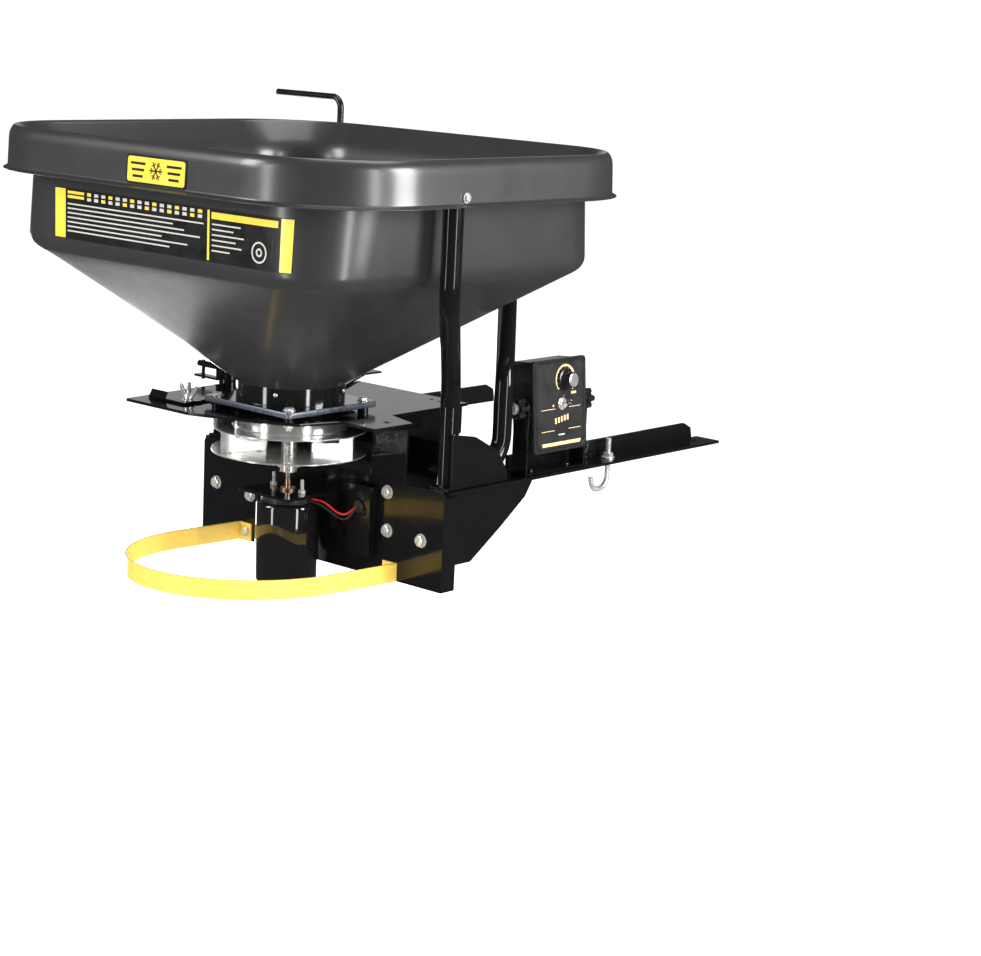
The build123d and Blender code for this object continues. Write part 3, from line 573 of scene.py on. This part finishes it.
def hook_line(x):
    """The J: straight down, then a half turn with a short flat under it, and up to a point."""
    low = -106
    points = [(x, HOOK_Y, -70), (x, HOOK_Y, -88)]
    for y, start in ((HOOK_Y - HOOK_BEND, 0), (HOOK_Y - HOOK_BEND - 4, -90)):
        for a in (math.radians(start - 9 * k) for k in range(11)):
            points.append((x, y + HOOK_BEND * math.cos(a), low + HOOK_BEND * math.sin(a)))
    return points + [(x, HOOK_Y - 36, low + 2.5)]


def make_rack_hooks():
    hooks, nuts = bmesh.new(), bmesh.new()
    for x in (HOOK_X, -HOOK_X):
        bar(hooks, hook_line(x), HOOK_R)
        thread(hooks, upright(x, HOOK_Y, -76), 0, 24, HOOK_R)
        washer(nuts, upright(x, HOOK_Y, ARM_TOP), 9.5, 4, 1.8)
        hex_head(nuts, upright(x, HOOK_Y, ARM_TOP + 1.8) @ Matrix.Rotation(0.4, 4, "Z"), 7.4, 5.8, True)
    stand_in("rack_hook_pair", hooks, "rack_hooks")
    stand_in("rack_nut_pair", nuts, "rack_nuts")


# ---- rim, collar and spinner fasteners ----------------------------------------------------
STUD_X, STUD_Y = 29.8, 3.1
SCREW_Z = 307
POST_SCREWS = (((BAND_X, -52), (1, 0, 0)), ((104, HOPPER_Y + BAND_Y), (0, 1, 0)))
COLLAR_R = 71
DISC_TOP = -54


def outward(r, degrees, z):
    """A frame on a cylinder about the axis, its Z pointing away from the axis."""
    a = math.radians(degrees)
    return aim((r * math.cos(a), r * math.sin(a), z), (math.cos(a), math.sin(a), 0))


def make_motor_studs():
    bm = bmesh.new()
    for side in (1, -1):
        x, y = side * STUD_X, -side * STUD_Y
        thread(bm, upright(x, y, -109), 0, 19, 2.5, 0.9)
        hex_head(bm, upright(x, y, -108), 5.0, 4.6, True)
        turned(bm, upright(x, y, -122), [(2.4, 0), (2.4, 14)], 16)
    stand_in("motor_stud_pair", bm, "motor_studs")


def make_hub_screws():
    bm = bmesh.new()
    for degrees in (-100, 20):
        turned(bm, outward(11, degrees, -74), [(3.2, 0), (3.2, 3.6), (2.6, 4.6), (1.5, 5), (1.4, 3)], 24)
    stand_in("hub_screw_pair", bm, "hub_screws")


def make_rim_screws():
    bm = bmesh.new()
    for side in (1, -1):
        for (x, y), (out_x, out_y, out_z) in POST_SCREWS:
            place = aim((side * x, y, SCREW_Z), (side * out_x, out_y, out_z))
            washer(bm, place, 6.4, 3, 1.6)
            turned(bm, place @ along(1.6), [(4.8, 0), (4.7, 1.6), (3.8, 2.9), (2.4, 3.4), (2.2, 2.0)], 32)
            turned(bm, place @ along(-20), [(2.6, 0), (2.6, 20.2)], 20)
    stand_in("rim_screw_set", bm, "rim_screws")


def make_rivets():
    bm = bmesh.new()
    for degrees in (-150, -60, 30, 120):
        turned(bm, outward(COLLAR_R, degrees, 29), [(2.8, -0.2), (2.7, 0.5), (2.0, 1.2), (1.0, 1.5)], 24)
    stand_in("collar_rivet_set", bm, "collar_rivets")

    head = [(2.6, -0.1), (2.5, 0.5), (1.8, 1.1)]
    foot_offset = 4.5
    bm = bmesh.new()
    for fin in range(6):
        a = math.radians(60 * fin + 12)
        for r in (44, 86):
            x = r * math.cos(a) - foot_offset * math.sin(a)
            y = r * math.sin(a) + foot_offset * math.cos(a)
            turned(bm, upright(x, y, DISC_TOP), head + [(0.9, 1.3)], 20)
            turned(bm, aim((x, y, DISC_TOP - 1.5), (0, 0, -1)), head, 20)
    piece("fin_rivet_set", bm, "spinner", MATERIALS["stainless"], ())


# ---- the gate's stop ----------------------------------------------------------------------
STOP_X, STOP_Y = -104, -84


def make_stop_hardware():
    """A stud with a toothed washer, and its wing nut."""
    bm = bmesh.new()
    turned(bm, upright(STOP_X, STOP_Y, -7.4), [(3, -1.6), (6, -1.0), (8, 0), (8, 0.6), (6, 1.4)], 32)
    thread(bm, upright(STOP_X, STOP_Y, -4.5), 0, 31.5, 3.0, 1.0)
    teeth = []
    for k, a in enumerate(circle(48)):
        r = 9.6 if k % 4 < 2 else 8.4
        teeth.append((r * math.cos(a), r * math.sin(a)))
    lay(bm, teeth, upright(STOP_X, STOP_Y, 3.6), 1.5)
    stand_in("stop_stud_set", bm, "stop_stud", smooth=30)

    wing = [(3.2, 1.2), (7.2, 2.2), (11.0, 5.6), (14.2, 9.6), (16.6, 14.0), (16.8, 17.2), (15.2, 18.8),
            (12.8, 18.2), (10.4, 15.2), (7.6, 11.2), (5.2, 8.4), (3.0, 7.0)]
    seat_z, wing_t = 5.2, 2.6
    bm = bmesh.new()
    seat = upright(STOP_X, STOP_Y, seat_z)
    turned(bm, seat, [(6.4, 0), (6.4, 2.6), (5.6, 5.4), (4.6, 7.4), (3.4, 7.9)], 32)
    wing_y = STOP_Y - wing_t / 2
    for side in (1, -1):
        place = Matrix(((side, 0, 0, STOP_X), (0, 0, 1, wing_y), (0, 1, 0, seat_z), (0, 0, 0, 1)))
        lay(bm, wing, place, wing_t)
    nut = stand_in("stop_wing_nut_cast", bm, "stop_wing_nut", smooth=50)
    mod = nut.modifiers.new("cast_edges", "BEVEL")
    mod.width = 0.0006
    mod.segments = 2
    mod.limit_method = "ANGLE"
    mod.angle_limit = math.radians(50)


# ---- motor --------------------------------------------------------------------------------
CAN_R, CAN_TOP, CAN_LOW = 41.5, -122, -230
CAP_R = 35.5


def make_motor():
    axis = upright(0, 0, 0)
    bm = bmesh.new()
    turned(bm, axis, [(8, CAN_LOW), (CAN_R - 4.3, CAN_LOW), (CAN_R - 1.3, CAN_LOW + 1),
                      (CAN_R, CAN_LOW + 3.5), (CAN_R, CAN_TOP - 5.4), (CAN_R - 0.6, CAN_TOP - 3),
                      (CAN_R - 2.3, CAN_TOP - 1), (CAN_R - 4.1, CAN_TOP), (30, CAN_TOP)], 96)
    stand_in("motor_can_drawn", bm, "motor_can", smooth=30)
    bm = bmesh.new()
    turned(bm, axis, [(34.4, CAN_TOP), (CAP_R, -121.4), (CAP_R, -120), (34.6, -119.4), (34.6, -113.4),
                      (34.0, -112.4), (32.8, -112), (8, -112)], 72)
    grey = MATERIALS["motor_cap_grey"]
    piece("motor_cap_cast", bm, "frame", grey, ["motor_cap"], smooth=30)


def make_hub():
    axis = upright(0, 0, 0)
    bm = bmesh.new()
    turned(bm, axis, [(10.2, -84), (11, -83.4), (11, -66), (10, -65), (10, -61), (11, -60), (11, -55.6)], 48)
    turned(bm, axis, [(9.8, DISC_TOP), (9.8, -31), (9.2, -30), (5, -30), (5, -34)], 48)
    stand_in("spinner_hub_turned", bm, "spinner_hub", smooth=30)


def make_grommet():
    profile = [(4.2, 38.6), (7.6, 38.8), (8.5, 39.8), (8.5, 41.4),
               (6.2, 42), (6.2, 45), (8.3, 45.6), (8.3, 48)]
    bm = bmesh.new()
    turned(bm, aim((91, 0, -120), (0, 1, 0)), profile, 40)
    stand_in("wire_grommet_moulded", bm, "wire_grommet", smooth=30)


# The motor's two leads leave the cap's side, dip, and pass through the grommet.
LEAD_R = 1.4
RED_LEAD = [(33.9, 11.2, -116.5), (47, 15.5, -116.5), (60, 17, -121), (72, 21, -130), (82, 26, -131),
            (88.6, 32, -124), (89.4, 40, -120), (89.4, 50, -120)]
BLACK_LEAD = [(35.3, 5.3, -118.5), (49, 7.4, -118.5), (63, 13, -126), (75, 20, -136), (85, 25, -137),
              (91.6, 29, -127), (92.5, 36.5, -120.3), (92.5, 50, -120.3)]


def make_lead(name, points, cad_node):
    curve = bpy.data.curves.new(name, "CURVE")
    curve.dimensions = "3D"
    spline = curve.splines.new("NURBS")
    spline.points.add(len(points) - 1)
    for control, point in zip(spline.points, points):
        control.co = (*(TO_ROW @ Vector(point)), 1)
    spline.order_u = 3
    spline.use_endpoint_u = True
    curve.bevel_depth = LEAD_R / 1000
    curve.bevel_resolution = 5
    curve.resolution_u = 16
    curve.use_fill_caps = True
    slot = slot_of[cad_node]
    show(name, curve, body_of[cad_node], MATERIALS[slot], [cad_node])


make_flange_bolts()
make_plate_bolts()
make_frame_screws()
make_rack_hooks()
make_motor_studs()
make_hub_screws()
make_rim_screws()
make_rivets()
make_flange_highlight_band()
make_stop_hardware()
make_motor()
make_hub()
make_grommet()
make_lead("motor_lead_red_wire", RED_LEAD, "motor_lead_red")
make_lead("motor_lead_black_wire", BLACK_LEAD, "motor_lead_black")


# ---- speed controller ---------------------------------------------------------------------
# CASE is at the controller's tilt pivot. FACE has u along the row's Y, v up and w out of the face.
CASE_TILT = -5
FACE_OUT = 16
PIVOT_HALF = 76
CASE = Matrix.Translation((211, 279, 11)) @ turn(CASE_TILT, "Y")
FACE = CASE @ Matrix(((0, 0, 1, FACE_OUT), (1, 0, 0, 0), (0, 1, 0, 0), (0, 0, 0, 1)))
DIAL = FACE @ Matrix.Translation((10, 32, 0))
LABEL = [(-42, -56), (42, -56), (48, -50), (48, 50), (46, 54),
         (42, 56), (-42, 56), (-46, 54), (-48, 50), (-48, -50)]


def make_label():
    bm = bmesh.new()
    lay(bm, [(u, v - 1) for u, v in LABEL], FACE, 0.5)
    piece("controller_label", bm, "controller", PANEL, ())
    bm = bmesh.new()
    rim = [FACE @ Vector((u * 1.045, v * 1.04 - 1, 0.2)) for u, v in LABEL]
    for start, end in zip(rim, rim[1:] + rim[:1]):
        bar(bm, [start, end], 0.7, 10)
    piece("controller_bezel_bead", bm, "controller", MATERIALS["case_black"], ())


def make_print():
    """An arc round the dial with its ticks, rules, bars and a foot stripe."""
    bm = bmesh.new()
    band(bm, DIAL, 17.6, 19.0, 222, -42, 0.8, 2.8)
    strip(bm, FACE, 22.5, 33, 11.5, 14.8, 0.8)
    lay(bm, [(-38, -55), (40, -55), (42, -50.5), (-40, -50.5)], FACE, 0.8)
    for v, left, right in ((-6.0, -11, 18), (-35.0, -14, 16)):
        strip(bm, FACE, -40, left, v, v + 0.8, 0.9)
        strip(bm, FACE, right, 41, v, v + 0.8, 0.9)
    for u in (-15, 23):
        turned(bm, FACE @ Matrix.Translation((u, -1.2, 0)), [(1.6, 0), (1.6, 0.8)], 16)
    for k in range(5):
        strip(bm, FACE, -12 + 6.2 * k, -8.6 + 6.2 * k, -26 + 0.9 * k, -18.5 + 0.9 * k, 0.7)
    piece("controller_gold_print", bm, "controller", MATERIALS["gold_print"], ())

    bm = bmesh.new()
    tick_r = 16.3
    for a in (math.radians(222 - 26.4 * k) for k in range(11)):
        spot = DIAL @ Matrix.Translation((tick_r * math.cos(a), tick_r * math.sin(a), 0))
        turned(bm, spot, [(0.55, 0), (0.55, 0.8)], 12)
    strip(bm, FACE, -5, 8, -42, -40.2, 0.7)
    piece("dial_marks", bm, "controller", MATERIALS["decal_pale"], ())


def make_speed_knob():
    bm = bmesh.new()
    turned(bm, DIAL, [(14.4, 1.2), (15.0, 2.0), (14.7, 3.8), (11.4, 5.0)], 60)
    grip = []
    for r, z in ((11.2, 4.8), (11.3, 5.4), (10.8, 14.6), (10.0, 15.6)):
        ring = []
        for k, a in enumerate(circle(72)):
            reach = r - (0.55 if k % 4 < 2 else 0)
            ring.append(DIAL @ Vector((reach * math.cos(a), reach * math.sin(a), z)))
        grip.append(ring)
    rings_to_faces(bm, grip)
    strip(bm, DIAL @ turn(-125), 11.0, 14.2, -0.8, 0.8, 5.2)
    stand_in("speed_knob_knurled", bm, "speed_knob", smooth=35)
    bm = bmesh.new()
    turned(bm, DIAL, [(9.6, 15.4), (9.6, 16.0), (8.9, 16.6), (6.6, 16.8)], 48)
    piece("speed_knob_cap", bm, "speed_knob", CAP_SILVER, ())


def make_toggle():
    bm = bmesh.new()
    seat = FACE @ Matrix.Translation((4, 0, 0))
    turned(bm, seat, [(8.2, 0), (8.2, 0.7), (7.4, 1.1)], 40)
    hex_head(bm, seat @ along(0.8), 6.8, 2.6)
    turned(bm, seat, [(4.9, 0), (4.9, 5.2), (4.2, 6.0), (3.2, 6.0), (3.0, 4.0)], 24)
    thread(bm, seat @ along(3.2), 0, 2.2, 5.1, 0.6)
    piece("toggle_bushing", bm, "controller", MATERIALS["zinc"], ["toggle_body"])
    bm = bmesh.new()
    lever = CASE @ Matrix.Translation((15, 4, 0)) @ turn(78, "Y")
    turned(bm, lever, [(1.8, 0), (1.7, 3), (2.0, 8), (2.7, 13), (3.1, 16.6), (2.8, 18.6), (1.6, 19.6)], 24)
    stand_in("toggle_lever_bat", bm, "toggle_lever")
    bm = bmesh.new()
    turned(bm, FACE @ Matrix.Translation((7, 10.5, 0)), [(2.0, 0), (1.9, 0.6), (1.4, 1.2), (0.7, 1.5)], 24)
    stand_in("indicator_lens_dome", bm, "indicator_lens")


def make_clamp_bolts():
    for side, body in ((1, "clamp_knob_front"), (-1, "clamp_knob_rear")):
        bm = bmesh.new()
        place = CASE @ aim((0, side * PIVOT_HALF, 0), (0, side, 0))
        hex_head(bm, place, 6.2, 3.2)
        turned(bm, place @ along(-0.4), [(8.0, 0), (8.0, 0.8), (7.2, 1.2)], 32)
        piece(body + "_bolt", bm, body, MATERIALS["zinc"], ())


make_label()
make_print()
make_speed_knob()
make_toggle()
make_clamp_bolts()


# ---- plain decals on the hopper -----------------------------------------------------------
LABEL_LEFT, LABEL_RIGHT, LABEL_LOW, LABEL_TOP = -183.0, 238.0, 217.0, 280.0
PRINT_LIFT = 0.45


def wall_at(x, z, lift):
    """A point on the basin's rear wall, which turns away at its corners, raised by lift."""
    k = (z - CREASE_Z) / (FLARE_Z - CREASE_Z)
    hx, hy, r = (low + (high - low) * k for low, high in
                 ((CREASE_X, FLARE_X), (CREASE_Y, FLARE_Y), (CREASE_R, FLARE_R)))
    over = abs(x) - (hx - r)
    if over <= 0:
        return Vector((x, HOPPER_Y - hy - lift, z))
    a = math.asin(min(1, over / r))
    away = hx - r + (r + lift) * math.sin(a)
    return Vector((math.copysign(away, x), HOPPER_Y - hy + r - (r + lift) * math.cos(a), z))


def wall_patch(bm, x0, x1, z0, z1, lift=PRINT_LIFT, thick=0.25):
    """A thin patch that follows the wall."""
    steps = max(1, int(abs(x1 - x0) / 6))
    rings = []
    for k in range(steps + 1):
        x = x0 + (x1 - x0) * k / steps
        rings.append([wall_at(x, z, out) for z, out in
                      ((z0, lift - thick), (z0, lift), (z1, lift), (z1, lift - thick))])
    rings_to_faces(bm, rings)


def make_label_decal():
    """A settings label with its words left out: end blocks, a table of squares, rules and a round mark."""
    base, yellow, pale = bmesh.new(), bmesh.new(), bmesh.new()
    wall_patch(base, LABEL_LEFT, LABEL_RIGHT, LABEL_LOW, LABEL_TOP, 0.25, 0.3)
    wall_patch(yellow, LABEL_LEFT + 1, LABEL_LEFT + 21, LABEL_LOW + 1, LABEL_TOP - 1)
    wall_patch(yellow, LABEL_RIGHT - 16, LABEL_RIGHT - 1, LABEL_LOW + 1, LABEL_TOP - 1)
    wall_patch(yellow, 101, 104.5, LABEL_LOW + 2, LABEL_TOP - 2)
    wall_patch(yellow, 108, 218, LABEL_TOP - 12, LABEL_TOP - 4)
    for drop in (6.5, 12):
        wall_patch(yellow, -158, -126, LABEL_TOP - drop, LABEL_TOP - drop + 3.5)
    for row in range(2):
        for k in range(16):
            x, z = -120 + 13.6 * k, LABEL_TOP - 7 - 6 * row
            wall_patch(yellow if (k + row) % 3 == 0 else pale, x, x + 7.5, z, z + 4)
    for left, drop, pitch, ends in ((-158, 20, 5.6, (94, 40, 60, 88, 20, 66, 34)),
                                    (109, 19, 6.2, (158, 146, 164, 150, 160, 140))):
        for k, end in enumerate(ends):
            z = LABEL_TOP - drop - pitch * k
            wall_patch(pale, left, end, z, z + 1.7)
    mark = Matrix(((1, 0, 0, 190), (0, 0, -1, -241.8), (0, 1, 0, 237), (0, 0, 0, 1)))
    for inner, outer in ((10.5, 12.5), (3.0, 5.0)):
        band(pale, mark, inner, outer, 0, 360, 0.45)
    piece("decal_panel", base, "frame", MATERIALS["decal_black"], ())
    piece("decal_yellow_blocks", yellow, "frame", MATERIALS["decal_yellow"], ())
    piece("decal_pale_bars", pale, "frame", MATERIALS["decal_pale"], ())


def make_badge():
    """A plain badge on the rim's band: a snowflake between bars."""
    lean = 2 / 39.5
    below_brow = 15.5
    spot = Vector((46.5, HOPPER_Y - BAND_Y + lean * below_brow, 318.5))
    plate = Matrix(((1, 0, 0, spot.x), (0, lean, -1, spot.y), (0, 1, lean, spot.z), (0, 0, 0, 1)))
    bm = bmesh.new()
    lay(bm, rounded_outline(53.5, 17.5, 5), plate, 0.7)
    piece("badge_back", bm, "frame", MATERIALS["decal_black"], ())
    bm = bmesh.new()
    lay(bm, rounded_outline(50.8, 14.8, 3.6), plate, 1.0)
    piece("badge_field", bm, "frame", MATERIALS["decal_yellow"], ())
    bm = bmesh.new()
    for k in range(6):
        arm = plate @ turn(60 * k)
        strip(bm, arm, 0.2, 11.6, -0.8, 0.8, 1.3)
        for sign in (1, -1):
            strip(bm, arm @ Matrix.Translation((6.4, 0, 0)) @ turn(55 * sign), 0, 4.4, -0.6, 0.6, 1.25)
    for u in (32, -32):
        for k in range(3):
            strip(bm, plate, u - 13 + 2 * k, u + 13 - 2 * k, 5.5 - 7.5 * k, 8.5 - 7.5 * k, 1.25)
    piece("badge_snowflake", bm, "frame", MATERIALS["decal_black"], ())


make_label_decal()
make_badge()


# ---- camera and light ---------------------------------------------------------------------
CAMERA_PLACE = (2.0562, -2.5431, 0.6153)
CAMERA_AZIMUTH, CAMERA_ELEVATION, CAMERA_ROLL = (math.radians(a) for a in (40.476, 12.071, 2.831))
FLOOR_Z = -0.62
MIDDLE = (0, -0.5, 0.15)
LIGHTS = [  # name, place, target, size, power
    ("key", (-1.6, -3.2, 1.6), MIDDLE, (1.0, 1.4), 52),
    ("side_soft", (3.0, 0.6, 1.0), MIDDLE, (1.2, 1.6), 110),
    ("side_strip", (3.4, -1.0, 0.5), MIDDLE, (0.4, 2.4), 34),
    ("rear_strip", (-0.5, -3.6, 0.4), MIDDLE, (0.4, 2.2), 24),
    ("under", (-1.5, 0.4, -0.5), (0, -0.5, 0.2), (1.4, 1.2), 26),
    ("top", (0.2, -0.2, 2.9), MIDDLE, (2.2, 2.2), 44),
    ("far_panel", (-2.3, 1.7, 0.8), MIDDLE, (1.8, 1.2), 3.5),
]


def make_camera():
    az, el, roll = CAMERA_AZIMUTH, CAMERA_ELEVATION, CAMERA_ROLL
    back = Vector((math.sin(az) * math.cos(el), -math.cos(az) * math.cos(el), math.sin(el)))
    level = Vector(UP).cross(back).normalized()
    rise = back.cross(level)
    right = math.cos(roll) * level + math.sin(roll) * rise
    up = -math.sin(roll) * level + math.cos(roll) * rise
    data = bpy.data.cameras.new("camera")
    data.lens = 81.6
    data.sensor_width = 36.0
    camera = bpy.data.objects.new("camera", data)
    bpy.context.scene.collection.objects.link(camera)
    camera.matrix_world = Matrix.Translation(CAMERA_PLACE) @ Matrix((right, up, back)).transposed().to_4x4()
    bpy.context.scene.camera = camera


def area_light(name, place, target, size, power):
    data = bpy.data.lights.new(name, "AREA")
    data.shape = "RECTANGLE"
    data.size, data.size_y = size
    data.energy = power
    light = bpy.data.objects.new(name, data)
    bpy.context.scene.collection.objects.link(light)
    light.location = place
    light.rotation_euler = (Vector(target) - Vector(place)).to_track_quat("-Z", "Y").to_euler()
    light.visible_camera = False


def make_floor():
    bm = bmesh.new()
    bmesh.ops.create_grid(bm, x_segments=2, y_segments=2, size=40)
    mesh = bpy.data.meshes.new("floor")
    bm.to_mesh(mesh)
    bm.free()
    floor = bpy.data.objects.new("floor", mesh)
    bpy.context.scene.collection.objects.link(floor)
    floor.location = (0, 0, FLOOR_Z)
    paper = finish_of("pale_floor", (0.97, 0.97, 0.97), 0.9, vary=0.0, grain=30.0, bump=0.0)
    shader = paper.node_tree.nodes["Principled BSDF"]
    shader.inputs["Emission Color"].default_value = (1, 1, 1, 1)
    shader.inputs["Emission Strength"].default_value = 0.6
    mesh.materials.append(paper)
    floor.visible_glossy = False


def make_world():
    """White to the camera, half as strong as a fill, and nearly dark in what the paint mirrors."""
    world = bpy.data.worlds.new("studio")
    world.use_nodes = True
    nt = world.node_tree
    backdrop = nt.nodes["Background"]
    backdrop.inputs["Color"].default_value = (1.0, 1.0, 1.0, 1)
    backdrop.inputs["Strength"].default_value = 1.0
    mirrored = shader_node(nt, "ShaderNodeBackground", Color=(0.92, 0.96, 1.0, 1), Strength=0.07)
    filled = shader_node(nt, "ShaderNodeBackground", Color=(1.0, 1.0, 1.0, 1), Strength=0.5)
    path = nt.nodes.new("ShaderNodeLightPath")
    seen = backdrop.outputs["Background"]
    for ray, other in (("Is Glossy Ray", mirrored), ("Is Diffuse Ray", filled)):
        mix = nt.nodes.new("ShaderNodeMixShader")
        nt.links.new(path.outputs[ray], mix.inputs["Fac"])
        nt.links.new(seen, mix.inputs[1])
        nt.links.new(other.outputs["Background"], mix.inputs[2])
        seen = mix.outputs["Shader"]
    nt.links.new(seen, nt.nodes["World Output"].inputs["Surface"])
    bpy.context.scene.world = world


make_camera()
make_floor()
make_world()
for light in LIGHTS:
    area_light(*light)
bpy.context.scene.view_settings.view_transform = "Standard"
